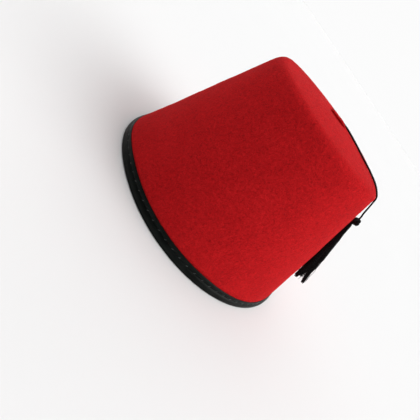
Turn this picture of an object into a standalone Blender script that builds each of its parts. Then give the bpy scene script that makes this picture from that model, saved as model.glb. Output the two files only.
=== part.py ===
"""A red felt fez with a black bound rim and a black tassel on a thin cord.

Metres, +Z up. The hat stands on its rim, and the origin is the middle of the rim on the surface that it
stands on.
"""

import math

import bmesh
import bpy
from mathutils import Matrix, Vector

MM = 0.001
GAP = 0.3 * MM  # between pieces that touch on the real hat

# The felt cap, blocked in one piece.
SIDES = 72
RIM_RADIUS = 91.4 * MM  # the wall's outer side, carried down to the surface
TAPER = math.radians(14.95)  # of the wall, from upright
HEIGHT = 123.3 * MM  # to the middle of the top
SHOULDER_RADIUS = 12.2 * MM
SHOULDER_CENTRE_HEIGHT = 107.0 * MM
FELT = 2.0 * MM
FELT_FOOT = 1.1 * MM  # the felt's lower edge, inside the folded band
SEAT_DEPTH = 0.45 * MM  # how far the sewn band presses the felt's outer side in
SEAT_TOP = 8.5 * MM
SEAT_EASE = 0.8 * MM  # the height in which the felt comes out to its full size again
TOP_LEAN = 0.0166  # sideways for each metre above the band, towards +X
LEAN_FROM = 8.4 * MM

# The hole near the middle of the top, where the cord comes out.
HOLE_X = -9.6 * MM  # before the lean
HOLE_RADIUS = 1.25 * MM
HOLE_TOWARDS_CORD = 0.35 * MM

# The folded band's section, from the lip of its outer leg round to the channel that the felt sits in.
# Columns: out from the felt's outer side, height; both in millimetres.
BAND_SECTION = (
    (-0.15, 8.0),
    (0.05, 8.4),
    (0.38, 7.9),
    (0.55, 6.8),  # upper fold
    (0.42, 5.7),
    (0.12, 5.1),  # sewn groove
    (0.48, 4.5),
    (0.70, 3.0),  # lower fold
    (0.65, 1.3),
    (0.35, 0.3),
    (-0.15, 0.0),  # the flat that the hat stands on
    (-2.30, 0.0),
    (-2.75, 0.3),
    (-2.95, 1.3),
    (-2.95, 7.5),
    (-2.70, 8.1),
    (-2.30, 8.0),
    (-2.30, 0.8),
    (-0.15, 0.8),
)

# The cord.
CORD_DIAMETER = 1.2 * MM
CORD_STEP = 1.5 * CORD_DIAMETER
# Its route: up out of the hole, across the top, over the shoulder and down to the tassel's knot.
# Columns: X, Y, Z in millimetres.
CORD_ROUTE = (
    (-7.6, 0.0, 121.15),
    (-7.6, 0.0, 121.95),
    (-7.4, 0.0, 123.0),
    (-6.75, 0.0, 123.9),
    (-5.7, 0.0, 124.25),
    (0.0, 0.2, 124.25),
    (8.7, 0.4, 124.2),
    (18.6, -0.4, 123.85),
    (28.9, -1.4, 123.15),
    (39.3, -1.9, 122.1),
    (48.0, -2.3, 120.95),
    (54.1, -2.7, 120.0),
    (57.3, -2.9, 119.05),
    (60.05, -3.0, 117.35),
    (62.25, -3.2, 115.1),
    (63.65, -3.2, 112.85),
    (65.95, -3.5, 107.5),
    (68.15, -3.6, 102.1),
    (70.2, -3.6, 97.7),
)

# The tassel lies down the wall.
TASSEL_AZIMUTH = math.radians(-3.0)
TASSEL_TOP_HEIGHT = 96.5 * MM
KNOT_HALF = (3.1 * MM, 3.0 * MM, 3.5 * MM)  # sideways, out, along
KNOT_SIDES = 12
KNOT_RINGS = 8
LOCK_SIDES = 8

# The skirt's outer form. Columns: along from the tassel's top, half width and half depth, in millimetres, and
# the thickness of a lock against its widest.
SKIRT = (
    (4.0, 1.0, 1.1, 0.50),
    (9.0, 1.6, 1.7, 0.60),
    (17.0, 2.0, 2.1, 0.70),
    (25.0, 2.8, 2.8, 0.85),
    (39.0, 4.1, 3.9, 1.00),
    (53.0, 5.3, 4.9, 1.00),
    (61.0, 6.5, 5.4, 0.80),
    (67.0, 7.7, 5.7, 0.45),
)
# The locks. Columns: place across and place out, each from -1 to 1 of the skirt's half sizes, and length and
# radius in millimetres.
LOCKS = (
    (-1.00, -0.35, 66.0, 1.5),
    (-0.62, 0.55, 67.5, 1.8),
    (-0.45, -0.75, 67.0, 1.7),
    (-0.10, 1.00, 64.5, 1.6),
    (0.00, 0.05, 66.0, 1.9),
    (0.20, -0.80, 67.5, 1.7),
    (0.55, 0.65, 66.0, 1.7),
    (0.72, -0.55, 65.0, 1.6),
    (1.00, 0.05, 66.5, 1.3),
)

# The stopper knot under the top.
INNER_KNOT_RADIUS = 2.4 * MM

FELT_RED = (0.42, 0.012, 0.014, 1.0)
BAND_BLACK = (0.012, 0.013, 0.013, 1.0)
CORD_BLACK = (0.010, 0.009, 0.010, 1.0)


def clear_scene():
    for item in list(bpy.data.objects):
        bpy.data.objects.remove(item, do_unlink=True)


def plain_material(name, colour, roughness):
    material = bpy.data.materials.new(name)
    material.use_nodes = True
    shader = material.node_tree.nodes["Principled BSDF"]
    shader.inputs["Base Color"].default_value = colour
    shader.inputs["Roughness"].default_value = roughness
    shader.inputs["Metallic"].default_value = 0.0
    return material


def add_object(name, data, material):
    piece = bpy.data.objects.new(name, data)
    data.materials.append(material)
    bpy.context.scene.collection.objects.link(piece)
    return piece


def add_mesh(name, shape, material):
    """A bmesh made into an object, its faces pointing out and its sharp edges kept."""
    bmesh.ops.recalc_face_normals(shape, faces=shape.faces)
    mesh = bpy.data.meshes.new(name)
    shape.to_mesh(mesh)
    shape.free()
    mesh.shade_smooth()
    mesh.set_sharp_from_angle(angle=math.radians(40))
    return add_object(name, mesh, material)


def lean(height):
    """How far the cap stands over towards +X at a height."""
    return TOP_LEAN * max(0.0, height - LEAN_FROM)


def wall_radius(height, out=0.0):
    """The radius of the wall's outer side at a height, or of a surface parallel to it."""
    return RIM_RADIUS - height * math.tan(TAPER) + out / math.cos(TAPER)


def wall_point(azimuth, height):
    """A point on the wall's outer side, with the lean."""
    radius = wall_radius(height)
    return Vector(
        (radius * math.cos(azimuth) + lean(height), radius * math.sin(azimuth), height)
    )


def shoulder_centre():
    """(radius, height) of the middle of the shoulder's arc."""
    return wall_radius(SHOULDER_CENTRE_HEIGHT, -SHOULDER_RADIUS), SHOULDER_CENTRE_HEIGHT


def dome_radius():
    """The radius of the top's arc, which meets the shoulder's without a corner."""
    radius, height = shoulder_centre()
    drop = HEIGHT - height
    return (radius**2 + drop**2 - SHOULDER_RADIUS**2) / (2 * (drop - SHOULDER_RADIUS))


def cap_outline(inset, seat):
    """The (radius, height) points of the felt's surface from its foot to the middle of the top, inset from
    the outer side, and by the seat as well where the band holds it."""
    wall_rows, shoulder_rows, top_rows = 4, 7, 5
    centre_radius, centre_height = shoulder_centre()
    top_radius = dome_radius()
    tangent_height = centre_height + (SHOULDER_RADIUS - inset) * math.sin(TAPER)
    dome_angle = math.asin(centre_radius / (top_radius - SHOULDER_RADIUS))
    points = [(wall_radius(height, -inset - seat), height) for height in (FELT_FOOT, SEAT_TOP)]
    free_height = SEAT_TOP + SEAT_EASE
    for row in range(wall_rows):
        height = free_height + (tangent_height - free_height) * row / wall_rows
        points.append((wall_radius(height, -inset), height))
    for row in range(shoulder_rows + 1):
        angle = TAPER + (math.pi / 2 - dome_angle - TAPER) * row / shoulder_rows
        reach = SHOULDER_RADIUS - inset
        points.append(
            (centre_radius + reach * math.cos(angle), centre_height + reach * math.sin(angle))
        )
    for row in range(1, top_rows + 1):
        angle = dome_angle * (1 - row / top_rows)
        reach = top_radius - inset
        points.append((reach * math.sin(angle), HEIGHT - top_radius + reach * math.cos(angle)))
    return points


def spin_outline(points, closed):
    """A bmesh turned round +Z from (radius, height) points."""
    shape = bmesh.new()
    verts = [shape.verts.new((radius, 0.0, height)) for radius, height in points]
    edges = [shape.edges.new(pair) for pair in zip(verts, verts[1:])]
    if closed:
        edges.append(shape.edges.new((verts[-1], verts[0])))
    bmesh.ops.spin(
        shape, geom=verts + edges, cent=(0, 0, 0), axis=(0, 0, 1), angle=math.tau, steps=SIDES
    )
    bmesh.ops.remove_doubles(shape, verts=shape.verts, dist=0.01 * MM)
    return shape


def make_hole_cutter(material):
    """A guide, not a piece: the pin that opens the cord's hole through the top."""
    shape = bmesh.new()
    bmesh.ops.create_cone(
        shape,
        cap_ends=True,
        segments=12,
        radius1=HOLE_RADIUS,
        radius2=HOLE_RADIUS,
        depth=4 * FELT,
    )
    cutter = add_mesh("hole_cutter", shape, material)
    middle = HEIGHT - FELT / 2
    cutter.location = (HOLE_X + HOLE_TOWARDS_CORD + lean(middle), 0.0, middle)
    cutter.hide_render = True
    cutter.display_type = "WIRE"
    return cutter


def make_crown(material):
    outer = cap_outline(0.0, SEAT_DEPTH)
    inner = cap_outline(FELT, 0.0)
    shape = spin_outline(outer + inner[::-1], closed=False)
    foot_edges = [
        edge for edge in shape.edges if edge.is_boundary and max(v.co.z for v in edge.verts) < LEAN_FROM
    ]
    bmesh.ops.bridge_loops(shape, edges=foot_edges)
    for vert in shape.verts:
        vert.co.x += lean(vert.co.z)
    crown = add_mesh("crown", shape, material)
    hole = crown.modifiers.new("cord_hole", "BOOLEAN")
    hole.operation = "DIFFERENCE"
    hole.object = make_hole_cutter(material)
    return crown


def make_rim_band(material):
    points = [
        (wall_radius(height * MM, out * MM), height * MM) for out, height in BAND_SECTION
    ]
    return add_mesh("rim_band", spin_outline(points, closed=True), material)


def smooth_route(points, step):
    """Points about step apart on a smooth curve through the given ones."""
    fine = []
    ends = [2 * points[0] - points[1], *points, 2 * points[-1] - points[-2]]
    for before, start, end, after in zip(ends, ends[1:], ends[2:], ends[3:]):
        for part in range(20):
            t = part / 20
            fine.append(
                0.5
                * (
                    2 * start
                    + (end - before) * t
                    + (2 * before - 5 * start + 4 * end - after) * t**2
                    + (3 * start - before - 3 * end + after) * t**3
                )
            )
    fine.append(points[-1])
    along = [0.0]
    for start, end in zip(fine, fine[1:]):
        along.append(along[-1] + (end - start).length)
    count = round(along[-1] / step)
    spaced = []
    for number in range(count + 1):
        want = along[-1] * number / count
        left = max(i for i, run in enumerate(along[:-1]) if run <= want)
        share = (want - along[left]) / (along[left + 1] - along[left])
        spaced.append(fine[left].lerp(fine[left + 1], share))
    return spaced


def make_tassel_cord(material):
    route = smooth_route([Vector(point) * MM for point in CORD_ROUTE], CORD_STEP)
    curve = bpy.data.curves.new("tassel_cord", "CURVE")
    curve.dimensions = "3D"
    curve.bevel_depth = CORD_DIAMETER / 2
    curve.bevel_resolution = 2
    curve.use_fill_caps = True
    spline = curve.splines.new("POLY")
    spline.points.add(len(route) - 1)
    for point, place in zip(spline.points, route):
        point.co = (*place, 1.0)
    return add_object("tassel_cord", curve, material)


def skirt_at(along):
    """The skirt's half width, half depth and share of a lock's thickness at a distance from its top."""
    rows = list(zip(SKIRT, SKIRT[1:]))
    lower, upper = next((pair for pair in rows if along <= pair[1][0] * MM), rows[-1])
    share = (along / MM - lower[0]) / (upper[0] - lower[0])
    return [low + (high - low) * share for low, high in zip(lower[1:], upper[1:])]


def lock_shape(across, out, length, radius):
    """One lock as a tapered tube. X is sideways, Y is out from the wall, and Z is along the tassel."""
    shape = bmesh.new()
    rings = []
    stops = [row[0] * MM for row in SKIRT[:-1]] + [length]
    for along in stops:
        half_width, half_depth, share = skirt_at(along)
        thick = radius * share
        middle = Vector(
            (
                across * (half_width * MM - thick),
                half_depth * MM + GAP + out * (half_depth * MM - thick),
                along,
            )
        )
        ring = []
        for side in range(LOCK_SIDES):
            angle = math.tau * side / LOCK_SIDES
            ring.append(
                shape.verts.new(middle + Vector((thick * math.cos(angle), thick * math.sin(angle), 0)))
            )
        rings.append(ring)
    for lower, upper in zip(rings, rings[1:]):
        for side in range(LOCK_SIDES):
            after = (side + 1) % LOCK_SIDES
            shape.faces.new((lower[side], lower[after], upper[after], upper[side]))
    shape.faces.new(rings[0][::-1])
    shape.faces.new(rings[-1])
    return shape


def tassel_frame():
    """The tassel's axes on the wall: X sideways, Y out and Z down along the wall, from the tassel's top."""
    top = wall_point(TASSEL_AZIMUTH, TASSEL_TOP_HEIGHT)
    foot = wall_point(TASSEL_AZIMUTH, LEAN_FROM)
    along = (foot - top).normalized()
    side = Vector((-math.sin(TASSEL_AZIMUTH), math.cos(TASSEL_AZIMUTH), 0.0))
    out = along.cross(side).normalized()
    return Matrix.Translation(top) @ Matrix((side, out, along)).transposed().to_4x4()


def make_tassel(material):
    """The knot, with every lock fused to it."""
    shape = bmesh.new()
    half_side, half_out, half_along = KNOT_HALF
    bmesh.ops.create_uvsphere(shape, u_segments=KNOT_SIDES, v_segments=KNOT_RINGS, radius=1.0)
    bmesh.ops.scale(shape, vec=KNOT_HALF, verts=shape.verts)
    bmesh.ops.translate(shape, vec=(0.0, half_out + GAP, half_along), verts=shape.verts)
    tassel = add_mesh("tassel", shape, material)
    tassel.matrix_world = tassel_frame()
    for number, (across, out, length, radius) in enumerate(LOCKS):
        lock = add_mesh(
            f"lock_{number}", lock_shape(across, out, length * MM, radius * MM), material
        )
        lock.matrix_world = tassel.matrix_world
        lock.hide_render = True
        lock.display_type = "WIRE"
        fuse = tassel.modifiers.new(f"fuse_{number}", "BOOLEAN")
        fuse.operation = "UNION"
        fuse.object = lock
    return tassel


def make_inner_knot(material):
    """The stopper knot, just under the felt of the top."""
    shape = bmesh.new()
    bmesh.ops.create_uvsphere(
        shape, u_segments=KNOT_SIDES, v_segments=KNOT_RINGS, radius=INNER_KNOT_RADIUS
    )
    knot = add_mesh("inner_knot", shape, material)
    start = Vector(CORD_ROUTE[0]) * MM
    knot.location = start - Vector((0.0, 0.0, INNER_KNOT_RADIUS + GAP))
    return knot


def main():
    clear_scene()
    felt = plain_material("felt", FELT_RED, 0.95)
    band = plain_material("band", BAND_BLACK, 0.4)
    cord = plain_material("cord", CORD_BLACK, 0.6)
    make_crown(felt)
    make_rim_band(band)
    make_tassel_cord(cord)
    make_tassel(cord)
    make_inner_knot(cord)


main()
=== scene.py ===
"""The looks of a red felt fez with a black bound rim and a black tassel on a thin cord.

Metres, +Z up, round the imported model. The hat stands on its rim, and the origin is the middle of the rim on
the floor.
"""

import math

import bpy
import numpy as np
from mathutils import Matrix, Vector, noise

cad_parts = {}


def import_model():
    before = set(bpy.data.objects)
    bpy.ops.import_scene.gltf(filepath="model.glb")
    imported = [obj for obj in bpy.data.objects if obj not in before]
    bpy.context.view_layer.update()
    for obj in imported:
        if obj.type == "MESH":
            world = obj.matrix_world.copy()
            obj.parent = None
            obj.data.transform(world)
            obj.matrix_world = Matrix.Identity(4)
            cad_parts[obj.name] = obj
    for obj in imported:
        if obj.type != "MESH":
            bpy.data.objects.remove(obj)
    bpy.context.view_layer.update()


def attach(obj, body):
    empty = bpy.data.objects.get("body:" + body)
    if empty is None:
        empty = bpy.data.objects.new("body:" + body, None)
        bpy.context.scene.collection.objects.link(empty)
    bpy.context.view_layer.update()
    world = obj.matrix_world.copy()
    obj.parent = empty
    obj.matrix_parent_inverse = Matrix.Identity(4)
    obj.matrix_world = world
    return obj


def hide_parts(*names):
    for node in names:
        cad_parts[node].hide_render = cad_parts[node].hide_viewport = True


MM = 0.001
GAP = 0.3 * MM  # between pieces that touch on the real hat

# The camera, where the photograph's outline puts it. Roll is about the line of sight.
CAMERA_PLACE = (-0.00559, -0.29997, 0.15231)
CAMERA_YAW = 0.03183
CAMERA_PITCH = 0.47547
CAMERA_ROLL = 0.98142
CAMERA_LENS = 33.87
CAMERA_SENSOR = 36.0

# The felt cap, as in the solids.
RIM_RADIUS = 91.4 * MM
TAPER = math.radians(14.95)
HEIGHT = 123.3 * MM
SHOULDER_RADIUS = 12.2 * MM
SHOULDER_CENTRE_HEIGHT = 107.0 * MM
FELT = 2.0 * MM
FELT_FOOT = 1.1 * MM
SEAT_DEPTH = 0.45 * MM
SEAT_TOP = 8.5 * MM
SEAT_EASE = 0.8 * MM
TOP_LEAN = 0.0166
LEAN_FROM = 8.4 * MM
HOLE_X = -7.35 * MM
HOLE_RADIUS = 1.25 * MM

# The felt's mesh: a square grid carried to the round top, and a column down the side from each point of the
# grid's edge.
TOP_CELLS = 108
OUTER_STEP = 1.12 * MM
INNER_STEP = 4.5 * MM
FINE_GAIN = 2.5  # how much closer the grid's lines are near the hole, and near the cord and its fold
FINE_HALF = (4.5 * MM, 6.8 * MM)  # along X and across it

# The felt's uneven surface. Columns: size of a feature, height of it; both in millimetres.
FELT_SWELLS = (
    (46.0, 0.30),
    (17.0, 0.20),
    (6.5, 0.10),
)
FELT_CRINKLE_SIZE = 3.4 * MM
FELT_CRINKLE_HEIGHT = 0.14 * MM
FELT_CRINKLE_SLOPE = 2.4  # how fast it falls from its crests
FELT_CRINKLE_SHIFT = 7.7  # of its pattern, in metres
INNER_SWELL = 0.6  # how uneven the inner side is, against the outer

# The shoulder is crisper than a round arc. Columns: the tilt of its outward direction and the reach on both
# sides of it, in degrees, and how far out it stands there, in millimetres.
SHOULDER_CRISP = (54.0, 36.0, 0.60)
# At some places it differs from that. Columns: azimuth and half width of the place, then as above.
SHOULDER_CORNERS = (
    (178.0, 40.0, 54.0, 36.0, 0.40),
    (-2.0, 30.0, 60.0, 36.0, -0.80),
    (-2.0, 30.0, 38.0, 17.0, 0.80),
)

# Where the soft rim is out of round. Columns: azimuth and half width of the place in degrees, how far out it
# stands in millimetres. It dies away up the wall.
RIM_FLARES = ((211.0, 34.0, 1.5),)
RIM_FLARE_TOP = 34 * MM

# The furrow that the cord is drawn into, next to the hole.
FURROW_LEAD = 1.6 * MM  # how far before the hole's middle it starts
FURROW_RISE = 3.2 * MM  # how far on it has its full depth
FURROW_END_X = 3.5 * MM  # where it starts to die away
FURROW_FADE = 9.0 * MM  # how far on it is gone
FURROW_DEPTH = 0.25 * MM
FURROW_REACH = 0.39 * MM
BACK_RIDGE = (1.45 * MM, 0.65 * MM, 0.90 * MM)  # behind the cord: place across it, reach and height
# The fold of felt on the cord's front side, which leans over forwards.
# Columns: place across the cord, how far it moves across and how high; millimetres.
FOLD = (
    (-8.4, 0.00, 0.00),
    (-7.4, 0.45, -0.25),
    (-6.8, 0.90, -0.55),
    (-6.2, 1.35, -0.70),
    (-5.6, 1.55, -0.45),
    (-5.1, 1.25, 0.00),
    (-4.7, 0.45, 0.35),
    (-4.4, -0.15, 0.50),
    (-4.0, -0.55, 0.70),
    (-3.4, -0.60, 0.98),
    (-2.8, -0.40, 1.25),
    (-2.2, -0.10, 1.50),
    (-1.6, 0.10, 1.58),
    (-1.2, 0.15, 1.35),
    (-0.9, 0.05, 0.90),
    (-0.6, 0.00, 0.00),
)
HOLE_DIP = 0.4 * MM
HOLE_DIP_REACH = 1.1 * MM
TOP_BULGE = (12.0 * MM, 22.0 * MM, 9.0 * MM, 0.65 * MM)  # X of its middle, half length, reach across, height

# The folded band's section, from the lip of its outer leg down, under the felt and up to the inner leg's lip.
# Columns: out from the felt's outer side, height; both in millimetres.
BAND_SECTION = (
    (-0.38, 7.9),
    (-0.05, 8.35),
    (0.40, 7.9),
    (0.66, 7.0),  # upper fold
    (0.52, 6.1),
    (-0.20, 5.2),  # sewn groove
    (0.50, 4.3),
    (0.86, 2.9),  # lower fold
    (0.72, 1.2),
    (0.38, 0.3),
    (-0.15, 0.0),
    (-1.20, 0.0),
    (-2.30, 0.0),
    (-2.75, 0.3),
    (-2.95, 1.3),
    (-2.95, 4.0),
    (-2.95, 7.5),
    (-2.70, 8.1),
    (-2.30, 8.0),
)
BAND_CHANNEL = ((-2.30, 0.8), (-0.38, 0.8))  # the corners below the felt's edge
BAND_STEP = 0.45 * MM
BAND_GROOVE_HEIGHT = 5.2 * MM
# The band is narrower at two places. Columns: azimuth and half width of the place in degrees, the share of
# its height that is missing, and the share of its upper fold's thickness.
BAND_NARROWS = (
    (195.0, 40.0, 0.36, 0.20),
    (-24.0, 46.0, 0.30, 0.62),
)
# Its small waves. Columns: size and height of a wave in millimetres, and a shift of the pattern in metres.
BAND_WAVES = (
    (8.0, 0.09, 0.0),
    (2.6, 0.05, 3.3),
)
BAND_WAVES_FROM = 1.5 * MM  # the height at which they have their full height
BAND_INNER_LEG = -2.6 * MM  # what is further in than this is the inner leg

STITCHES = 76
COLUMNS_PER_STITCH = 9
STITCH_PHASE = 0.15  # how far past azimuth 0 the first one is, as a share of the space between two
STITCH_HEIGHT = 5.55 * MM
STITCH_HALF_LENGTH = 0.85 * MM
STITCH_SLANT = math.radians(38)
STITCH_RADIUS = 0.19 * MM
STITCH_THINNER = 0.25  # the share of its thickness that is missing at its ends
STITCH_OUT = (0.40 * MM, -0.12 * MM)  # from the felt's outer side, at its middle and at its ends
STITCH_STATIONS = 9
STITCH_SIDES = 7
STITCH_SEED = 5
STITCH_GLINT_TONES = (0.2, 1.0)  # the darkest and the palest; the pale grey is a painted glint on black thread
STITCH_PULL = (0.24 * MM, 1.15 * MM, 1.0 * MM)  # the band's dent at a stitch: depth, reach along, reach up
STITCH_FULLNESS = (0.05 * MM, 2.4 * MM)  # the band between stitches: how full, reach up

# The cord. Its route is the solids', and runs on through the knot into the tassel.
CORD_TONES = (0.3, 0.5, 0.7)  # of its strands
CORD_STRAND_RADIUS = 0.36 * MM
CORD_STRAND_OFFSET = 0.34 * MM
CORD_STRAND_SIDES = 7
CORD_PITCH = 3.4 * MM
CORD_STEP = 0.35 * MM
# Columns: X, Y, Z in millimetres.
CORD_ROUTE = (
    (-7.6, 0.0, 121.15),
    (-7.6, 0.0, 121.95),
    (-7.4, 0.0, 123.0),
    (-6.75, 0.0, 123.9),
    (-5.7, 0.0, 124.25),
    (0.0, 0.2, 124.25),
    (8.7, 0.4, 124.2),
    (18.6, -0.4, 123.85),
    (28.9, -1.4, 123.15),
    (39.3, -1.9, 122.1),
    (48.0, -2.3, 120.95),
    (54.1, -2.7, 120.0),
    (57.3, -2.9, 119.05),
    (60.05, -3.0, 117.35),
    (62.25, -3.2, 115.1),
    (63.65, -3.2, 112.85),
    (65.95, -3.5, 107.5),
    (68.15, -3.6, 102.1),
    (70.2, -3.6, 97.7),
)
CORD_ON_TOP = 4  # the route's first point that lies on the top
CORD_ENDS_IN_TASSEL = (4.0 * MM, 12.0 * MM)  # along the tassel
CORD_DEPTH_IN_KNOT = 0.6  # as a share of the knot's half depth
CORD_SETTLES = 0.22 * MM  # how much closer to the felt it lies than the solids' cord
CORD_HANGS = (114.2 * MM, 98.0 * MM)  # between these heights it hangs straight from the shoulder's corner
CORD_EASE = 6  # steps on both sides over which these are averaged

# The tassel, which lies down the wall.
TASSEL_AZIMUTH = math.radians(-3.0)
TASSEL_TOP_HEIGHT = 96.5 * MM
KNOT_HALF = (3.1 * MM, 3.0 * MM, 3.5 * MM)  # sideways, out, along
KNOT_BUNDLE_RADIUS = 1.25 * MM
KNOT_YARNS = 16
KNOT_YARN_RADIUS = 0.3 * MM
KNOT_YARN_UNEVEN = 0.06  # the spread of the yarns' thickness, as a share
KNOT_YARN_SIDES = 6
KNOT_STATIONS = 150
KNOT_PITCH = 26 * MM  # of the yarns' twist
KNOT_INNER_TURN = 0.4
# The skirt's outer form. Columns: along from the tassel's top, half width and half depth, in millimetres, and
# the thickness of a lock against its widest.
SKIRT = (
    (4.0, 1.0, 1.1, 0.50),
    (9.0, 1.6, 1.7, 0.60),
    (17.0, 2.0, 2.1, 0.70),
    (25.0, 2.8, 2.8, 0.85),
    (39.0, 4.1, 3.9, 1.00),
    (53.0, 5.3, 4.9, 1.00),
    (61.0, 6.5, 5.4, 0.80),
    (67.0, 7.7, 5.7, 0.45),
)
# The locks. Columns: place across and place out, each from -1 to 1 of the skirt's half sizes, and length and
# radius in millimetres.
LOCKS = (
    (-1.00, -0.35, 66.0, 1.5),
    (-0.62, 0.55, 67.5, 1.8),
    (-0.45, -0.75, 67.0, 1.7),
    (-0.10, 1.00, 64.5, 1.6),
    (0.00, 0.05, 66.0, 1.9),
    (0.20, -0.80, 67.5, 1.7),
    (0.55, 0.65, 66.0, 1.7),
    (0.72, -0.55, 65.0, 1.6),
    (1.00, 0.05, 66.5, 1.3),
)
# The locks' ends gather in clumps, at these places across and out, between these shares of the length.
CLUMPS_ACROSS = (-1.0, -0.56, 0.03, 0.62, 1.0)
CLUMPS_OUT = (-0.68, 0.0, 0.76)
CLUMPS_FROM = 0.66
CLUMPS_FULL = 0.92

THREADS = 330
THREAD_RADIUS = 0.15 * MM
THREAD_STATIONS = 34
THREAD_SIDES = 5
THREAD_SEED = 11
THREAD_START = 3.2 * MM  # along the tassel, inside the knot
THREAD_LENGTH_UNEVEN = 0.45  # the spread of their lengths, in millimetres
THREAD_RADIUS_UNEVEN = (0.85, 1.15)  # the thinnest and the thickest, as shares
THREAD_TIP_THINNER = 0.35  # the share of its thickness that is missing at its very end
THREAD_LOOSER = 0.20  # how much looser a lock is at its end
# Columns: length of a thread's waves, height of them; both in millimetres.
THREAD_WAVES = (
    (22.0, 0.26),
    (8.0, 0.12),
)
THREAD_WAVES_UNEVEN = (0.75, 1.3)  # the shortest and the longest, as shares
FRAY_FROM = 0.86  # of the length
FRAY = 0.25 * MM
STRAY_SHARE = 0.02  # of the threads
STRAY_ACROSS = 3.0 * MM
STRAY_OUT = (0.5, 2.5)  # millimetres

# The stopper knot under the top.
INNER_KNOT_RADIUS = 2.4 * MM
INNER_KNOT_BUNDLE_RADIUS = 0.95 * MM
INNER_KNOT_YARNS = 9
INNER_KNOT_YARN_RADIUS = 0.27 * MM

FLOOR_RADIUS = 8.0
FLOOR_RINGS = (0.05, 0.2, 0.6, 2.0, FLOOR_RADIUS)
FLOOR_COLUMNS = 96
BACKDROP_ROWS = 24
BACKDROP_FOOT = -0.02  # radians, just under the floor
BACKDROP_WHITE = 0.97

# The lights: wide soft suns. Columns: name, azimuth and elevation of where it stands, in degrees, and
# strength, which is the brightness that it gives a white surface facing it.
LIGHTS = (
    ("right", 0.0, 40.0, 0.53),
    ("high", 45.0, 68.0, 0.27),
    ("low_back", 90.0, 12.0, 0.14),
)
LIGHT_WIDTH = math.radians(50)
# The light of the surroundings: white behind the hat and all along the horizon, and greyer high up in front
# of it. Turn and rise are shares of the way to +Y and to +Z.
ROOM_WHITE = 0.97
ROOM_GREY = 0.13
ROOM_TURN = (-0.4, 0.4)
ROOM_RISE = (0.10, 0.26)

OBLIQUE = (0.31, 0.52, 0.79)  # a direction that no line of a tube starts along

# The sockets of a Mix node that mixes colours: factor, first and second colour, and result.
MIX_INPUTS = (0, 6, 7)
MIX_OUTPUT = 2


# ---------------------------------------------------------------- shapes


def lean(height):
    """How far the cap stands over towards +X at a height."""
    return TOP_LEAN * np.maximum(0.0, height - LEAN_FROM)


def wall_radius(height, out=0.0):
    """The radius of the wall's outer side at a height, or of a surface parallel to it."""
    return RIM_RADIUS - height * math.tan(TAPER) + out / math.cos(TAPER)


def shoulder_centre():
    """(radius, height) of the middle of the shoulder's arc."""
    return wall_radius(SHOULDER_CENTRE_HEIGHT, -SHOULDER_RADIUS), SHOULDER_CENTRE_HEIGHT


def dome_radius():
    """The radius of the top's arc, which meets the shoulder's without a corner."""
    radius, height = shoulder_centre()
    drop = HEIGHT - height
    return (radius**2 + drop**2 - SHOULDER_RADIUS**2) / (2 * (drop - SHOULDER_RADIUS))


def dome_angle():
    """How far the top's edge slopes."""
    return math.asin(shoulder_centre()[0] / (dome_radius() - SHOULDER_RADIUS))


def smooth_line(points, step):
    """Points about step apart on a smooth curve through the given ones."""
    points = np.asarray(points, float)
    ends = np.vstack([2 * points[0] - points[1], points, 2 * points[-1] - points[-2]])
    t = np.linspace(0, 1, 24, endpoint=False)[:, None]
    runs = [
        0.5
        * (
            2 * start
            + (end - before) * t
            + (2 * before - 5 * start + 4 * end - after) * t**2
            + (3 * start - before - 3 * end + after) * t**3
        )
        for before, start, end, after in zip(ends, ends[1:], ends[2:], ends[3:])
    ]
    fine = np.vstack([*runs, ends[-2]])
    along = np.concatenate([[0.0], np.cumsum(np.linalg.norm(np.diff(fine, axis=0), axis=1))])
    wanted = np.linspace(0, along[-1], round(along[-1] / step) + 1)
    return np.column_stack([np.interp(wanted, along, column) for column in fine.T])


def eased(share):
    """0 to 1, smoothly, as a share goes from 0 to 1, and no more beyond."""
    share = np.clip(share, 0, 1)
    return share * share * (3 - 2 * share)


def bell(angle, middle, half_width):
    """1 where an angle is the middle, falling smoothly to 0 at half_width from it.

    The angle is in radians, the other two in degrees.
    """
    away = np.abs((angle - math.radians(middle) + math.pi) % math.tau - math.pi)
    return np.cos(math.pi / 2 * np.minimum(away / math.radians(half_width), 1)) ** 2


def smooth_noise(points, size):
    """Smooth noise between about -1 and 1, with features of a size."""
    return np.array([noise.noise(Vector(point)) for point in (points / size).tolist()])


def turned(radius, height, azimuth):
    """Points of a turned surface, with a row for each radius and height and a column for each azimuth."""
    x = np.outer(radius, np.cos(azimuth))
    y = np.outer(radius, np.sin(azimuth))
    z = np.outer(height, np.ones_like(azimuth))
    return np.stack([x, y, z], axis=-1)


def push_out(points, azimuth, distance):
    """Moves points away from the upright line through the origin."""
    points[..., 0] += distance * np.cos(azimuth)
    points[..., 1] += distance * np.sin(azimuth)


def azimuth_of(points):
    """The azimuth of each point."""
    return np.arctan2(points[:, 1], points[:, 0])


def quads_between(lower, upper):
    """Quads between two closed rows of indices."""
    return np.stack([lower, np.roll(lower, -1), np.roll(upper, -1), upper], axis=-1).reshape(-1, 4)


def unit(vectors):
    """The vectors' directions, at length 1."""
    return vectors / np.linalg.norm(vectors, axis=-1, keepdims=True)


def line_frames(lines):
    """Along, across and third directions at each point of (lines, stations, 3), without twist."""
    along = unit(np.gradient(lines, axis=1))
    across = np.empty_like(along)
    across[:, 0] = unit(np.cross(along[:, 0], OBLIQUE))
    for station in range(1, lines.shape[1]):
        tangent = along[:, station]
        before = across[:, station - 1]
        level = before - (before * tangent).sum(axis=1, keepdims=True) * tangent
        across[:, station] = unit(level)
    return along, across, np.cross(along, across)


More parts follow.
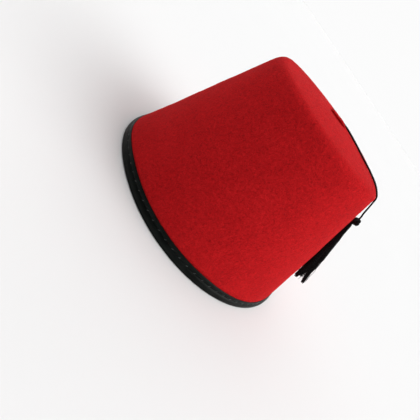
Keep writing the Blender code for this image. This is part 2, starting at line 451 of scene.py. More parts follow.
def wind_round(centre, strands, offset, pitch, turn=0.0):
    """Lines that wind round a centreline of points at an offset from it, evenly spaced round it."""
    _, across, third = (directions[0] for directions in line_frames(centre[None]))
    steps = np.linalg.norm(np.diff(centre, axis=0), axis=1)
    run = np.concatenate([[0.0], np.cumsum(steps)])
    lines = []
    for number in range(strands):
        angle = math.tau * (number / strands + run / pitch) + turn
        side = np.cos(angle)[:, None] * across + np.sin(angle)[:, None] * third
        lines.append(centre + offset * side)
    return np.array(lines)


def add_mesh(name, points, faces, material):
    """A smooth mesh as an object of the scene."""
    mesh = bpy.data.meshes.new(name)
    mesh.from_pydata(np.asarray(points).tolist(), [], faces)
    mesh.shade_smooth()
    mesh.materials.append(material)
    piece = bpy.data.objects.new(name, mesh)
    bpy.context.scene.collection.objects.link(piece)
    return piece


def add_tubes(name, lines, radii, sides, material, tones):
    """Round tubes joined in one mesh. lines is (tubes, stations, 3), radii (tubes, stations), and tones one
    number for each tube, which its material reads."""
    tubes, stations, _ = lines.shape
    _, across, third = line_frames(lines)
    angle = math.tau * np.arange(sides) / sides
    ring = (
        np.cos(angle)[:, None] * across[:, :, None, :] + np.sin(angle)[:, None] * third[:, :, None, :]
    )
    points = lines[:, :, None, :] + radii[:, :, None, None] * ring
    index = np.arange(tubes * stations * sides).reshape(tubes, stations, sides)
    after = np.roll(index, -1, axis=2)
    quads = np.stack([index[:, :-1], after[:, :-1], after[:, 1:], index[:, 1:]], axis=-1)
    faces = quads.reshape(-1, 4).tolist() + index[:, 0, ::-1].tolist() + index[:, -1].tolist()
    piece = add_mesh(name, points.reshape(-1, 3), faces, material)
    tone = piece.data.attributes.new("tone", "FLOAT", "POINT")
    tone.data.foreach_set("value", np.repeat(tones, stations * sides).astype(np.float32))
    return piece


# ---------------------------------------------------------------- materials


def feed(tree, socket, value):
    """Sets a socket to a value, or links it to the socket that feeds it."""
    if isinstance(value, bpy.types.NodeSocket):
        tree.links.new(value, socket)
    else:
        socket.default_value = value


def feed_all(tree, node, inputs):
    """Feeds a node's inputs by their names."""
    for name, value in inputs.items():
        feed(tree, node.inputs[name], value)


def add_node(tree, kind, inputs=None, **settings):
    """A shader node. An input is a value, or the socket that feeds it."""
    node = tree.nodes.new(kind)
    for name, value in settings.items():
        setattr(node, name, value)
    feed_all(tree, node, inputs or {})
    return node


def new_material(name):
    """A material, its node tree and its shader."""
    material = bpy.data.materials.new(name)
    material.use_nodes = True
    return material, material.node_tree, material.node_tree.nodes["Principled BSDF"]


def object_place(tree):
    """The place on the object, in its own frame."""
    return add_node(tree, "ShaderNodeTexCoord").outputs["Object"]


def noise_at(tree, place, size, detail=2.0, rough=0.5, distortion=0.0):
    """Noise whose features are about size across."""
    inputs = {
        "Vector": place,
        "Scale": 1.0 / size,
        "Detail": detail,
        "Roughness": rough,
        "Distortion": distortion,
    }
    return add_node(tree, "ShaderNodeTexNoise", inputs).outputs["Fac"]


def remap(tree, value, low, high, to_low, to_high):
    """A value carried smoothly from one range to another, and held inside it."""
    inputs = {"Value": value, "From Min": low, "From Max": high, "To Min": to_low, "To Max": to_high}
    return add_node(tree, "ShaderNodeMapRange", inputs, interpolation_type="SMOOTHSTEP").outputs["Result"]


def math_of(tree, operation, first, second=0.0):
    """The result of a Math node."""
    node = add_node(tree, "ShaderNodeMath", operation=operation)
    feed(tree, node.inputs[0], first)
    feed(tree, node.inputs[1], second)
    return node.outputs[0]


def weighted_sum(tree, terms):
    """The sum of values, each given with its weight."""
    total = None
    for value, weight in terms:
        term = math_of(tree, "MULTIPLY", value, weight)
        total = term if total is None else math_of(tree, "ADD", total, term)
    return total


def contour_lines(tree, field, width):
    """1 along the field's middle value, 0 away from it: thin wandering lines, like fibres."""
    away = math_of(tree, "ABSOLUTE", math_of(tree, "SUBTRACT", field, 0.5))
    return remap(tree, away, 0.0, width, 1.0, 0.0)


def mix_colour(tree, factor, first, second):
    """A colour between two, or one laid over another."""
    node = add_node(tree, "ShaderNodeMix", data_type="RGBA")
    for number, value in zip(MIX_INPUTS, (factor, first, second)):
        feed(tree, node.inputs[number], value)
    return node.outputs[MIX_OUTPUT]


def bump(tree, height, distance):
    """The normal of a surface with a relief."""
    return add_node(tree, "ShaderNodeBump", {"Height": height, "Distance": distance}).outputs["Normal"]


def felt_material():
    """Pressed red felt: matted clumps, wandering fibres, fine grain and faint broad mottling."""
    material, tree, shader = new_material("red_felt")
    place = object_place(tree)
    mottle = noise_at(tree, place, 22 * MM, detail=3.0)
    clump = noise_at(tree, place, 2.0 * MM, rough=0.55, distortion=0.9)
    matting = noise_at(tree, place, 0.9 * MM, detail=1.5, rough=0.6, distortion=1.2)
    fibres = contour_lines(tree, noise_at(tree, place, 2.0 * MM, detail=1.5, distortion=1.6), 0.07)
    grain = noise_at(tree, place, 0.35 * MM)

    dark = (0.350, 0.0050, 0.0075, 1.0)
    middle = (0.545, 0.0085, 0.0115, 1.0)
    light = (0.750, 0.0180, 0.0215, 1.0)
    tone = weighted_sum(tree, ((clump, 0.36), (matting, 0.52), (mottle, 0.12)))
    shade = mix_colour(tree, remap(tree, tone, 0.34, 0.50, 0.0, 1.0), dark, middle)
    colour = mix_colour(tree, remap(tree, tone, 0.48, 0.66, 0.0, 0.8), shade, light)
    colour = mix_colour(tree, math_of(tree, "MULTIPLY", fibres, 0.30), colour, light)
    height = weighted_sum(tree, ((fibres, 0.35), (clump, 1.0), (matting, 0.7), (grain, 0.25)))
    inputs = {
        "Base Color": colour,
        "Roughness": remap(tree, clump, 0.3, 0.7, 0.86, 1.0),
        "Normal": bump(tree, height, 0.5 * MM),
        "Specular IOR Level": 0.045,
        "Sheen Weight": 0.15,
        "Sheen Roughness": 0.45,
        "Sheen Tint": (1.0, 0.06, 0.06, 1.0),
    }
    feed_all(tree, shader, inputs)
    return material


def band_material():
    """Soft black coated cloth, dull, with a fine grain and small creases."""
    material, tree, shader = new_material("black_binding")
    place = object_place(tree)
    wear = noise_at(tree, place, 9 * MM, detail=3.0)
    crease = noise_at(tree, place, 2.2 * MM, detail=3.0, distortion=0.8)
    grain = noise_at(tree, place, 0.45 * MM)
    dark = (0.0030, 0.0038, 0.0036, 1.0)
    light = (0.0070, 0.0090, 0.0085, 1.0)
    height = weighted_sum(tree, ((crease, 0.9), (grain, 0.25)))
    inputs = {
        "Base Color": mix_colour(tree, remap(tree, wear, 0.3, 0.75, 0.0, 1.0), dark, light),
        "Roughness": remap(tree, wear, 0.25, 0.75, 0.30, 0.44),
        "Normal": bump(tree, height, 0.14 * MM),
        "Specular IOR Level": 0.085,
        "Specular Tint": (0.95, 1.0, 0.90, 1.0),
    }
    feed_all(tree, shader, inputs)
    return material


def thread_material(name, dark, light, ply_size):
    """Rayon thread: fine plies across it, a soft sheen and a tone of its own for each strand."""
    material, tree, shader = new_material(name)
    place = object_place(tree)
    tone = add_node(tree, "ShaderNodeAttribute", attribute_name="tone").outputs["Fac"]
    plies = noise_at(tree, place, ply_size, distortion=0.5)
    shade = weighted_sum(tree, ((tone, 0.6), (plies, 0.4)))
    inputs = {
        "Base Color": mix_colour(tree, shade, dark, light),
        "Roughness": remap(tree, plies, 0.3, 0.7, 0.40, 0.62),
        "Normal": bump(tree, plies, 0.06 * MM),
        "Specular IOR Level": 0.15,
    }
    feed_all(tree, shader, inputs)
    return material


def floor_material():
    """Pale seamless paper."""
    material, tree, shader = new_material("pale_paper")
    place = object_place(tree)
    cloud = noise_at(tree, place, 0.6, detail=1.0)
    inputs = {
        "Base Color": mix_colour(tree, cloud, (0.800, 0.800, 0.800, 1.0), (0.815, 0.815, 0.815, 1.0)),
        "Roughness": 0.9,
        "Specular IOR Level": 0.1,
    }
    feed_all(tree, shader, inputs)
    return material


def backdrop_material():
    """An evenly lit pale wall."""
    material, tree, shader = new_material("pale_backdrop")
    inputs = {
        "Base Color": (0.0, 0.0, 0.0, 1.0),
        "Specular IOR Level": 0.0,
        "Emission Color": (1.0, 1.0, 1.0, 1.0),
        "Emission Strength": BACKDROP_WHITE,
    }
    feed_all(tree, shader, inputs)
    return material


# ---------------------------------------------------------------- the felt cap


def graded_lines(count, fine_place, fine_half):
    """count cells' lines from -1 to 1, closer together near a place."""
    fine = np.linspace(-1, 1, 4001)
    density = 1 + FINE_GAIN * np.exp(-(((fine - fine_place) / fine_half) ** 4))
    share = np.concatenate([[0.0], np.cumsum((density[1:] + density[:-1]) / 2)])
    return np.interp(np.linspace(0, share[-1], count + 1), share, fine)


def square_to_disc(u, v):
    """The points (u, v) of a square carried to a disc of radius 1, rings for squares."""
    wide = np.abs(u) >= np.abs(v)
    reach = np.where(wide, u, v)
    safe = np.where(reach == 0, 1.0, reach)
    angle = np.where(wide, math.pi / 4 * v / safe, math.pi / 2 - math.pi / 4 * u / safe)
    return reach * np.cos(angle), reach * np.sin(angle)


def side_rows(inset, step):
    """Rows up the felt's side and over its shoulder to the top's edge: radius, height and the tilt of the
    outward direction."""
    centre_radius, centre_height = shoulder_centre()
    reach = SHOULDER_RADIUS - inset
    tangent_height = centre_height + reach * math.sin(TAPER)
    wall_count = round((tangent_height - FELT_FOOT) / math.cos(TAPER) / step)
    heights = np.linspace(FELT_FOOT, tangent_height, wall_count, endpoint=False)
    last_tilt = math.pi / 2 - dome_angle()
    arc_count = max(6, round(SHOULDER_RADIUS * (last_tilt - TAPER) / step))
    tilts = np.linspace(TAPER, last_tilt, arc_count + 1)
    radius = np.concatenate([wall_radius(heights, -inset), centre_radius + reach * np.cos(tilts)])
    height = np.concatenate([heights, centre_height + reach * np.sin(tilts)])
    return radius, height, np.concatenate([np.full(wall_count, TAPER), tilts])


def band_share(azimuth):
    """How high the band is at an azimuth, and how thick its upper fold, as shares of the whole."""
    height = np.ones_like(azimuth)
    thickness = np.ones_like(azimuth)
    for middle, half_width, height_missing, thickness_missing in BAND_NARROWS:
        here = bell(azimuth, middle, half_width)
        height = height - height_missing * here
        thickness = thickness - thickness_missing * here
    return height, thickness


def rim_flare(height, azimuth):
    """How far out the soft rim and the wall above it stand."""
    flare = np.zeros_like(azimuth)
    for middle, half_width, out in RIM_FLARES:
        flare = flare + out * MM * bell(azimuth, middle, half_width)
    return flare * eased(1 - height / RIM_FLARE_TOP)


def pressed_in(height, azimuth):
    """How far the band presses the felt in."""
    return SEAT_DEPTH * (1 - eased((height / band_share(azimuth)[0] - SEAT_TOP) / SEAT_EASE))


def edge_loop(cells):
    """The grid indices of the square's edge, once round, anticlockwise from the corner at azimuth -45."""
    right = [(cells, j) for j in range(0, cells)]
    back = [(i, cells) for i in range(cells, 0, -1)]
    left = [(0, j) for j in range(cells, 0, -1)]
    front = [(i, 0) for i in range(0, cells)]
    return np.array(right + back + left + front)


def felt_shell(inset, step):
    """One side of the felt: its points, the directions out of it, the rows of its side and the grid of its
    top as indices."""
    dome = dome_radius() - inset
    edge_radius = dome * math.sin(dome_angle())
    u = graded_lines(TOP_CELLS, HOLE_X / edge_radius, FINE_HALF[0] / edge_radius)
    v = graded_lines(TOP_CELLS, 0.0, FINE_HALF[1] / edge_radius)
    x, y = square_to_disc(*np.meshgrid(u, v, indexing="ij"))
    loop = edge_loop(TOP_CELLS)
    azimuth = np.arctan2(y[loop[:, 0], loop[:, 1]], x[loop[:, 0], loop[:, 1]])

    x, y = x * edge_radius, y * edge_radius
    slope = np.arcsin(np.hypot(x, y) / dome)
    turn = np.arctan2(y, x)
    top = np.stack([x, y, HEIGHT - dome_radius() + dome * np.cos(slope)], axis=-1)
    top_out = np.stack([np.sin(slope) * np.cos(turn), np.sin(slope) * np.sin(turn), np.cos(slope)], axis=-1)

    radius, height, tilt = (values[:-1] for values in side_rows(inset, step))
    side = turned(radius, height, azimuth)
    side_out = turned(np.cos(tilt), np.sin(tilt), azimuth)
    points = np.vstack([side.reshape(-1, 3), top.reshape(-1, 3)])
    outward = np.vstack([side_out.reshape(-1, 3), top_out.reshape(-1, 3)])
    points[:, 0] += lean(points[:, 2])

    side_count = side.shape[0] * side.shape[1]
    grid = side_count + np.arange((TOP_CELLS + 1) ** 2).reshape(TOP_CELLS + 1, TOP_CELLS + 1)
    side_index = np.arange(side_count).reshape(side.shape[:2])
    rows = np.vstack([side_index, grid[loop[:, 0], loop[:, 1]][None]])
    return points, outward, rows, grid


def hole_cells(points, grid):
    """Which cells of the top's grid the hole takes."""
    corners = points[grid]
    middle = (corners[:-1, :-1] + corners[1:, :-1] + corners[1:, 1:] + corners[:-1, 1:]) / 4
    return np.hypot(middle[..., 0] - HOLE_X, middle[..., 1]) < HOLE_RADIUS


def felt_swell(points):
    """How far the felt's surface stands proud of the turned shape at each point."""
    swell = np.zeros(len(points))
    for size, height in FELT_SWELLS:
        swell += height * MM * smooth_noise(points + size, size * MM)
    crinkle = 1 - FELT_CRINKLE_SLOPE * np.abs(smooth_noise(points + FELT_CRINKLE_SHIFT, FELT_CRINKLE_SIZE))
    return swell + FELT_CRINKLE_HEIGHT * crinkle


def shoulder_push(azimuth, tilt):
    """How much the shoulder stands out past its round arc."""
    middle, reach, height = SHOULDER_CRISP
    push = height * bell(tilt, middle, reach)
    for place, half_width, middle, reach, height in SHOULDER_CORNERS:
        push = push + height * bell(azimuth, place, half_width) * bell(tilt, middle, reach)
    return push * MM


def across_cord(points):
    """Where each point of the top lies across the cord, and how much of the furrow there is."""
    route = np.array(CORD_ROUTE[CORD_ON_TOP:]) * MM
    middle = np.interp(points[:, 0], route[:, 0], route[:, 1])
    start = eased((points[:, 0] - HOLE_X + FURROW_LEAD) / FURROW_RISE)
    end = eased((FURROW_END_X + FURROW_FADE - points[:, 0]) / FURROW_FADE)
    return points[:, 1] - middle, start * end * (points[:, 2] > HEIGHT / 2)


def furrow(points):
    """The felt drawn up on both sides of the cord next to the hole: how far each point moves."""
    across, strength = across_cord(points)
    ridge_place, ridge_reach, ridge_height = BACK_RIDGE
    ridge = ridge_height * np.exp(-(((across - ridge_place) / ridge_reach) ** 2))
    dip = FURROW_DEPTH * np.exp(-((across / FURROW_REACH) ** 2))
    place, sideways, up = np.array(FOLD).T * MM
    move = np.zeros_like(points)
    move[:, 1] = strength * np.interp(across, place, sideways)
    move[:, 2] = strength * (np.interp(across, place, up) + ridge - dip)
    return move


def top_bulge(points):
    """The felt pushed up a little under the cord, beyond the hole."""
    middle, half_length, reach, height = TOP_BULGE
    along = np.cos(math.pi / 2 * np.clip((points[:, 0] - middle) / half_length, -1, 1)) ** 2
    return height * along * np.exp(-((points[:, 1] / reach) ** 2)) * (points[:, 2] > HEIGHT / 2)


def hole_dip(points):
    """The felt pushed in round the hole."""
    away = np.hypot(points[:, 0] - HOLE_X, points[:, 1]) - HOLE_RADIUS
    return -HOLE_DIP * np.exp(-np.maximum(away, 0) / HOLE_DIP_REACH) * (points[:, 2] > HEIGHT / 2)


def shell_faces(rows, grid, keep):
    """The quads of one side of the felt, with the cells of the top that are kept."""
    faces = [quads_between(lower, upper) for lower, upper in zip(rows, rows[1:])]
    cells = np.stack([grid[:-1, :-1], grid[1:, :-1], grid[1:, 1:], grid[:-1, 1:]], axis=-1)
    faces.append(cells[keep])
    return np.vstack(faces)


def hole_wall(outer, inner, taken):
    """Quads through the felt round the cells that the hole takes."""
    faces = []
    for i, j in np.argwhere(taken):
        sides = (
            ((i - 1, j), (i, j + 1), (i, j)),
            ((i + 1, j), (i + 1, j), (i + 1, j + 1)),
            ((i, j - 1), (i, j), (i + 1, j)),
            ((i, j + 1), (i + 1, j + 1), (i, j + 1)),
        )
        for beside, start, end in sides:
            if not taken[beside]:
                faces.append([outer[start], outer[end], inner[end], inner[start]])
    return np.array(faces)


def round_hole(points, grid, taken):
    """Moves the corners of the cells that the hole takes onto its circle. No face has those inside it."""
    near = np.zeros(grid.shape, bool)
    for di in (0, 1):
        for dj in (0, 1):
            near[di : di + TOP_CELLS, dj : dj + TOP_CELLS] |= taken
    for index in grid[near]:
        away = points[index, :2] - (HOLE_X, 0.0)
        points[index, :2] = (HOLE_X, 0.0) + away * (HOLE_RADIUS / max(np.hypot(*away), 0.2 * HOLE_RADIUS))


def make_felt_crown():
    """The felt cap, a closed shell with the hole through its top."""
    outer, outward, outer_rows, outer_grid = felt_shell(0.0, OUTER_STEP)
    inner, inward, inner_rows, inner_grid = felt_shell(FELT, INNER_STEP)
    taken = hole_cells(outer, outer_grid)
    round_hole(outer, outer_grid, taken)
    round_hole(inner, inner_grid, taken)

    azimuth = azimuth_of(outer)
    tilt = np.arcsin(np.clip(outward[:, 2], -1, 1))
    swell = felt_swell(outer) + shoulder_push(azimuth, tilt) + top_bulge(outer) + hole_dip(outer)
    seat = pressed_in(outer[:, 2], azimuth)
    swell = swell * (1 - seat / SEAT_DEPTH) - seat
    outer = outer + furrow(outer) + outward * swell[:, None]
    inner = inner + inward * (INNER_SWELL * felt_swell(inner))[:, None]
    for points in (outer, inner):
        azimuth = azimuth_of(points)
        push_out(points, azimuth, rim_flare(points[:, 2], azimuth))

    inner_rows = inner_rows + len(outer)
    inner_grid = inner_grid + len(outer)
    faces = np.vstack(
        [
            shell_faces(outer_rows, outer_grid, ~taken),
            shell_faces(inner_rows, inner_grid, ~taken)[:, ::-1],
            quads_between(inner_rows[0], outer_rows[0]),
            hole_wall(outer_grid, inner_grid, taken),
        ]
    )
    used, faces = np.unique(faces, return_inverse=True)
    points = np.vstack([outer, inner])[used]
    return add_mesh("felt_crown", points, faces.reshape(-1, 4).tolist(), felt_material())


# ---------------------------------------------------------------- the band


def band_relief(azimuth, out, height):
    """How far the band's outer leg stands out past its section: drawn in at each stitch, fuller between."""
    phase = azimuth * STITCHES / math.tau - STITCH_PHASE
    from_stitch = (phase - np.round(phase)) * math.tau * RIM_RADIUS / STITCHES
    above = height - STITCH_HEIGHT
    depth, reach_along, reach_up = STITCH_PULL
    pull = depth * np.exp(-((from_stitch / reach_along) ** 2) - (above / reach_up) ** 2)
    fullness, reach = STITCH_FULLNESS
    full = fullness * np.cos(math.tau * phase) * np.exp(-((above / reach) ** 2))
    return np.where(out > 0.0, -pull - full, 0.0)


def make_band(material):
    """The folded band, narrower at some places, with its groove, its dents and its small waves."""
    leg = smooth_line(np.array(BAND_SECTION) * MM, BAND_STEP)
    section = np.vstack([leg, np.array(BAND_CHANNEL) * MM])
    columns = STITCHES * COLUMNS_PER_STITCH
    azimuth = math.tau * np.arange(columns) / columns
    share, upper_fold = band_share(azimuth)
    points = []
    for out, height in section:
        if out > 0 and height > BAND_GROOVE_HEIGHT:
            out = out * upper_fold
        radius = wall_radius(height * share, out + band_relief(azimuth, out, height))
        radius += rim_flare(height * share, azimuth)
        points.append(np.column_stack([radius * np.cos(azimuth), radius * np.sin(azimuth), height * share]))
    points = np.array(points)

    out, height = section.T
    waves = np.zeros(points.shape[:2])
    for size, wave_height, shift in BAND_WAVES:
        noisy = smooth_noise(points.reshape(-1, 3) + shift, size * MM)
        waves += wave_height * MM * noisy.reshape(waves.shape)
    outward = np.where(out > 0, 1.0, np.where(out < BAND_INNER_LEG, -1.0, 0.0))
    free = np.clip(height / BAND_WAVES_FROM, 0, 1)
    push_out(points, azimuth, (outward * free)[:, None] * waves)

    index = np.arange(len(section) * columns).reshape(len(section), columns)
    after = np.roll(index, -1, axis=0)
    faces = np.vstack([quads_between(lower, upper) for lower, upper in zip(after, index)])
    return add_mesh("bound_band", points.reshape(-1, 3), faces.tolist(), material)


def make_stitches(material):
    """The short slanted stitches, each drawn into the band at both ends."""
    run = np.linspace(-1, 1, STITCH_STATIONS)
    out_middle, out_ends = STITCH_OUT
    lines = []
    for number in range(STITCHES):
        middle = math.tau * (number + STITCH_PHASE) / STITCHES
        level = STITCH_HEIGHT * float(band_share(np.array(middle))[0])
        height = level + run * STITCH_HALF_LENGTH * math.sin(STITCH_SLANT)
        out = out_middle + (out_ends - out_middle) * run**2
        radius = wall_radius(height, out) + float(rim_flare(np.array(level), np.array(middle)))
        azimuth = middle + run * STITCH_HALF_LENGTH * math.cos(STITCH_SLANT) / RIM_RADIUS
        lines.append(np.column_stack([radius * np.cos(azimuth), radius * np.sin(azimuth), height]))
    radii = np.tile(STITCH_RADIUS * (1 - STITCH_THINNER * run**4), (STITCHES, 1))
    tones = np.random.default_rng(STITCH_SEED).uniform(*STITCH_GLINT_TONES, STITCHES)
    return add_tubes("band_stitches", np.array(lines), radii, STITCH_SIDES, material, tones)


# ---------------------------------------------------------------- the cord and the tassel


def tassel_frame():
    """The tassel's axes on the wall: X sideways, Y out and Z down along the wall, from the tassel's top."""

    def wall_point(height):
        radius = wall_radius(height)
        x = radius * math.cos(TASSEL_AZIMUTH) + float(lean(height))
        return Vector((x, radius * math.sin(TASSEL_AZIMUTH), height))

    top = wall_point(TASSEL_TOP_HEIGHT)
    along = (wall_point(LEAN_FROM) - top).normalized()
    side = Vector((-math.sin(TASSEL_AZIMUTH), math.cos(TASSEL_AZIMUTH), 0.0))
    out = along.cross(side).normalized()
    return Matrix.Translation(top) @ Matrix((side, out, along)).transposed().to_4x4()


def in_tassel(points):
    """Points of the tassel's own frame, in the hat's."""
    frame = np.array(tassel_frame())
    return points @ frame[:3, :3].T + frame[:3, 3]


def cord_centreline():
    """The solids' route, laid on the uneven felt, and on into the tassel."""
    depth = CORD_DEPTH_IN_KNOT * KNOT_HALF[1] + GAP
    inside = in_tassel(np.array([(0.0, depth, along) for along in CORD_ENDS_IN_TASSEL]))
    line = smooth_line(np.vstack([np.array(CORD_ROUTE) * MM, inside]), CORD_STEP)

    centre_radius, centre_height = shoulder_centre()
    x = line[:, 0] - lean(line[:, 2])
    azimuth = np.arctan2(line[:, 1], x)
    tilt = np.arctan2(line[:, 2] - centre_height, np.hypot(x, line[:, 1]) - centre_radius)
    tilt = np.clip(tilt, 0, math.pi / 2)
    level = np.cos(tilt)
    outward = np.stack([level * np.cos(azimuth), level * np.sin(azimuth), np.sin(tilt)], axis=-1)
    push = felt_swell(line) + shoulder_push(azimuth, tilt) + top_bulge(line) - CORD_SETTLES
    high, low = CORD_HANGS
    hangs = (line[:, 2] < high) & (line[:, 0] > 0)
    push[hangs] = push[~hangs][-1] * np.clip((line[hangs, 2] - low) / (high - low), 0, 1)
    width = 2 * CORD_EASE + 1
    push = np.convolve(np.pad(push, CORD_EASE, mode="edge"), np.full(width, 1 / width), "valid")
    return line + outward * push[:, None]


def make_cord(material):
    """The twisted strands, and the line that they wind round."""
    centre = cord_centreline()
    tones = np.array(CORD_TONES)
    lines = wind_round(centre, len(tones), CORD_STRAND_OFFSET, CORD_PITCH)
    radii = np.full(lines.shape[:2], CORD_STRAND_RADIUS)
    piece = add_tubes("twisted_cord", lines, radii, CORD_STRAND_SIDES, material, tones)
    return piece, centre


def knot_line(half_sizes, bundle_radius):
    """A three-lobed overhand knot's centreline, which with its bundle fills the half sizes."""
    t = np.linspace(0, math.tau, KNOT_STATIONS)
    shape = np.column_stack(
        [np.sin(t) + 2 * np.sin(2 * t), -np.sin(3 * t), np.cos(t) - 2 * np.cos(2 * t)]
    )
    reach = np.abs(shape).max(axis=0)
    return shape / reach * (np.array(half_sizes) - bundle_radius)


def make_knot(name, half_sizes, bundle_radius, yarns, yarn_radius, material):
    """Yarns side by side round a knot's centreline, a third of them inside the rest."""
    centre = knot_line(half_sizes, bundle_radius)
    offset = bundle_radius - yarn_radius
    inner_count = yarns // 3
    lines = np.vstack(
        [
            wind_round(centre, yarns - inner_count, offset, KNOT_PITCH),
            wind_round(centre, inner_count, 0.5 * offset, KNOT_PITCH, turn=KNOT_INNER_TURN),
        ]
    )
    rng = np.random.default_rng(yarns)
    uneven = 1 + KNOT_YARN_UNEVEN * rng.standard_normal((len(lines), 1))
    radii = yarn_radius * uneven * np.ones(lines.shape[:2])
    return add_tubes(name, lines, radii, KNOT_YARN_SIDES, material, rng.uniform(0, 1, len(lines)))


def skirt_at(along):
    """The skirt's half width, half depth and share of a lock's thickness at distances from its top."""
    table = np.array(SKIRT)
    columns = [np.interp(along / MM, table[:, 0], column) for column in table[:, 1:].T]
    return columns[0] * MM, columns[1] * MM, columns[2]


def nearest(values, places):
    """The one of the places that is nearest to each value."""
    places = np.array(places)
    return places[np.abs(values[:, None] - places).argmin(axis=1)]


def make_threads(material):
    """The tassel's threads, gathered in locks that part towards their ends."""
    rng = np.random.default_rng(THREAD_SEED)
    locks = np.array(LOCKS)
    weight = locks[:, 3] ** 2
    owner = np.repeat(np.arange(len(locks)), np.round(THREADS * weight / weight.sum()).astype(int))
    count = len(owner)
    across, out, length, radius = locks[owner].T
    length = (length + rng.normal(0.0, THREAD_LENGTH_UNEVEN, count)) * MM
    radius = radius * MM

    run = np.linspace(0.0, 1.0, THREAD_STATIONS)[None, :]
    along = THREAD_START + (length[:, None] - THREAD_START) * run
    half_width, half_depth, share = skirt_at(along)
    thick = radius[:, None] * share

    part = eased((run - CLUMPS_FROM) / (CLUMPS_FULL - CLUMPS_FROM))
    across = across[:, None] + part * (nearest(across, CLUMPS_ACROSS) - across)[:, None]
    out = out[:, None] + part * (nearest(out, CLUMPS_OUT) - out)[:, None]

    turn = rng.uniform(0, math.tau, count)[:, None]
    reach = np.sqrt(rng.uniform(0, 1, count))[:, None]
    loose = 1.0 + THREAD_LOOSER * run
    x = across * (half_width - thick) + thick * loose * reach * np.cos(turn)
    y = half_depth + GAP + out * (half_depth - thick) + thick * loose * reach * np.sin(turn)

    for wave_length, wave_height in np.array(THREAD_WAVES) * MM:
        for axis in (x, y):
            phase = rng.uniform(0, math.tau, count)[:, None]
            size = wave_length * rng.uniform(*THREAD_WAVES_UNEVEN, count)[:, None]
            axis += wave_height * np.minimum(1.0, 3 * run) * np.sin(math.tau * along / size + phase)

    tip = np.clip((run - FRAY_FROM) / (1 - FRAY_FROM), 0, 1) ** 2
    x += tip * rng.normal(0.0, FRAY, count)[:, None]
    y += tip * rng.normal(0.0, FRAY, count)[:, None]
    stray = (rng.uniform(0, 1, count) < STRAY_SHARE)[:, None] * run**2
    x += stray * rng.choice([-1.0, 1.0], count)[:, None] * STRAY_ACROSS
    y += stray * rng.uniform(*STRAY_OUT, count)[:, None] * MM
    y = np.maximum(y, GAP + THREAD_RADIUS)

    lines = in_tassel(np.stack([x, y, along], axis=-1))
    uneven = rng.uniform(*THREAD_RADIUS_UNEVEN, count)[:, None]
    radii = THREAD_RADIUS * uneven * (1 - THREAD_TIP_THINNER * (run == 1.0))
    return add_tubes("tassel_threads", lines, radii, THREAD_SIDES, material, rng.uniform(0, 1, count))


def make_tassel_knot(material):
    """The tassel's head, on the wall."""
    knot = make_knot("tassel_knot", KNOT_HALF, KNOT_BUNDLE_RADIUS, KNOT_YARNS, KNOT_YARN_RADIUS, material)
    middle = Matrix.Translation((0.0, KNOT_HALF[1] + GAP, KNOT_HALF[2]))
    knot.data.transform(tassel_frame() @ middle)
    return knot


def make_stopper_knot(material):
    """The knot just under the felt of the top."""
    knot = make_knot(
        "stopper_knot",
        (INNER_KNOT_RADIUS,) * 3,
        INNER_KNOT_BUNDLE_RADIUS,
        INNER_KNOT_YARNS,
        INNER_KNOT_YARN_RADIUS,
        material,
    )
    start = Vector(CORD_ROUTE[0]) * MM
    knot.data.transform(Matrix.Translation(start - Vector((0.0, 0.0, INNER_KNOT_RADIUS + GAP))))
    return knot


# ---------------------------------------------------------------- the stage


def make_camera():
    """The photograph's camera, rolled about its line of sight."""
    look = Vector(
        (
            math.sin(CAMERA_YAW) * math.cos(CAMERA_PITCH),
            math.cos(CAMERA_YAW) * math.cos(CAMERA_PITCH),
            -math.sin(CAMERA_PITCH),
        )
    )
    level = look.cross(Vector((0, 0, 1))).normalized()
    above = level.cross(look)
    right = level * math.cos(CAMERA_ROLL) + above * math.sin(CAMERA_ROLL)
    up = above * math.cos(CAMERA_ROLL) - level * math.sin(CAMERA_ROLL)
    data = bpy.data.cameras.new("camera")
    data.lens = CAMERA_LENS
    data.sensor_width = CAMERA_SENSOR
    camera = bpy.data.objects.new("camera", data)
    camera.matrix_world = Matrix.Translation(CAMERA_PLACE) @ Matrix((right, up, -look)).transposed().to_4x4()
    bpy.context.scene.collection.objects.link(camera)
    bpy.context.scene.camera = camera


def make_floor():
    """A wide flat floor."""
    azimuth = math.tau * np.arange(FLOOR_COLUMNS) / FLOOR_COLUMNS
    points = turned(FLOOR_RINGS, np.zeros(len(FLOOR_RINGS)), azimuth)
    index = np.arange(len(FLOOR_RINGS) * FLOOR_COLUMNS).reshape(-1, FLOOR_COLUMNS)
    faces = [index[0].tolist()]
    for inner, outer in zip(index, index[1:]):
        faces += quads_between(inner, outer)[:, ::-1].tolist()
    floor = add_mesh("floor", points.reshape(-1, 3), faces, floor_material())


def make_backdrop():
    """A pale dome behind everything. Only the camera sees it, so the light of the surroundings passes."""
    rise = np.linspace(BACKDROP_FOOT, math.pi / 2, BACKDROP_ROWS)
    azimuth = math.tau * np.arange(FLOOR_COLUMNS) / FLOOR_COLUMNS
    points = FLOOR_RADIUS * turned(np.cos(rise), np.sin(rise), azimuth)
    index = np.arange(BACKDROP_ROWS * FLOOR_COLUMNS).reshape(BACKDROP_ROWS, FLOOR_COLUMNS)
    faces = np.vstack([quads_between(upper, lower) for lower, upper in zip(index, index[1:])])
    backdrop = add_mesh("backdrop", points.reshape(-1, 3), faces.tolist(), backdrop_material())
    backdrop.visible_diffuse = False
    backdrop.visible_glossy = False
    backdrop.visible_transmission = False
    backdrop.visible_shadow = False


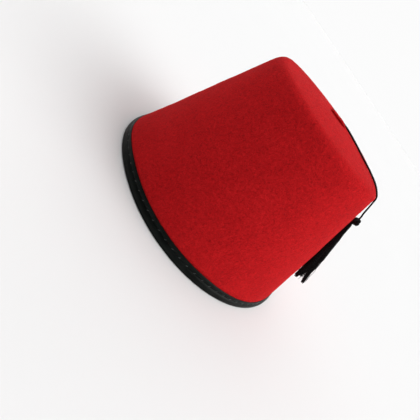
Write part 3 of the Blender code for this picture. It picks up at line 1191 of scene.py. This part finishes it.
def make_lights():
    """The suns of the table."""
    for name, azimuth, elevation, strength in LIGHTS:
        data = bpy.data.lights.new(name, "SUN")
        data.angle = LIGHT_WIDTH
        data.energy = math.pi * strength
        light = bpy.data.objects.new(name, data)
        light.rotation_euler = (math.radians(90 - elevation), 0.0, math.radians(90 + azimuth))
        bpy.context.scene.collection.objects.link(light)


def make_world():
    """The light of the surroundings, and plain colours in the render."""
    world = bpy.data.worlds.new("studio")
    world.use_nodes = True
    tree = world.node_tree
    way = add_node(tree, "ShaderNodeTexCoord").outputs["Generated"]
    axes = add_node(tree, "ShaderNodeSeparateXYZ", {"Vector": way}).outputs
    front = remap(tree, axes["Y"], *ROOM_TURN, ROOM_WHITE - ROOM_GREY, 0.0)
    high = remap(tree, axes["Z"], *ROOM_RISE, 0.0, 1.0)
    strength = math_of(tree, "SUBTRACT", ROOM_WHITE, math_of(tree, "MULTIPLY", front, high))
    feed_all(tree, tree.nodes["Background"], {"Strength": strength, "Color": (1.0, 1.0, 1.0, 1.0)})
    bpy.context.scene.world = world
    bpy.context.scene.view_settings.view_transform = "Standard"


def stand_for(piece, node):
    """piece stands for a CAD node: it is attached to the root, and the node's part is hidden."""
    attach(piece, "root")
    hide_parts(node)


def main():
    """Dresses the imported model, and sets its stage."""
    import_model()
    make_camera()

    cord_thread = thread_material(
        "cord_thread", (0.0030, 0.0024, 0.0028, 1), (0.0085, 0.0070, 0.0076, 1), 0.5 * MM
    )
    tassel_thread = thread_material(
        "tassel_thread", (0.0024, 0.0018, 0.0022, 1), (0.0100, 0.0080, 0.0086, 1), 0.8 * MM
    )
    # The stitches' pale grey is a painted glint: the thread is black, and this colour stands in for the light
    # that catches it.
    stitch_thread_painted_glint = thread_material(
        "stitch_thread_painted_glint", (0.050, 0.057, 0.054, 1), (0.160, 0.176, 0.168, 1), 0.4 * MM
    )

    cord, centreline = make_cord(cord_thread)
    threads = make_threads(tassel_thread)
    knot = make_tassel_knot(tassel_thread)
    band = make_band(band_material())
    stitches = make_stitches(stitch_thread_painted_glint)

    stand_for(cord, "tassel_cord")
    stand_for(threads, "tassel")
    stand_for(knot, "tassel")
    stand_for(make_stopper_knot(cord_thread), "inner_knot")
    stand_for(make_felt_crown(), "crown")
    stand_for(band, "rim_band")
    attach(stitches, "root")

    make_floor()
    make_backdrop()
    make_lights()
    make_world()


main()
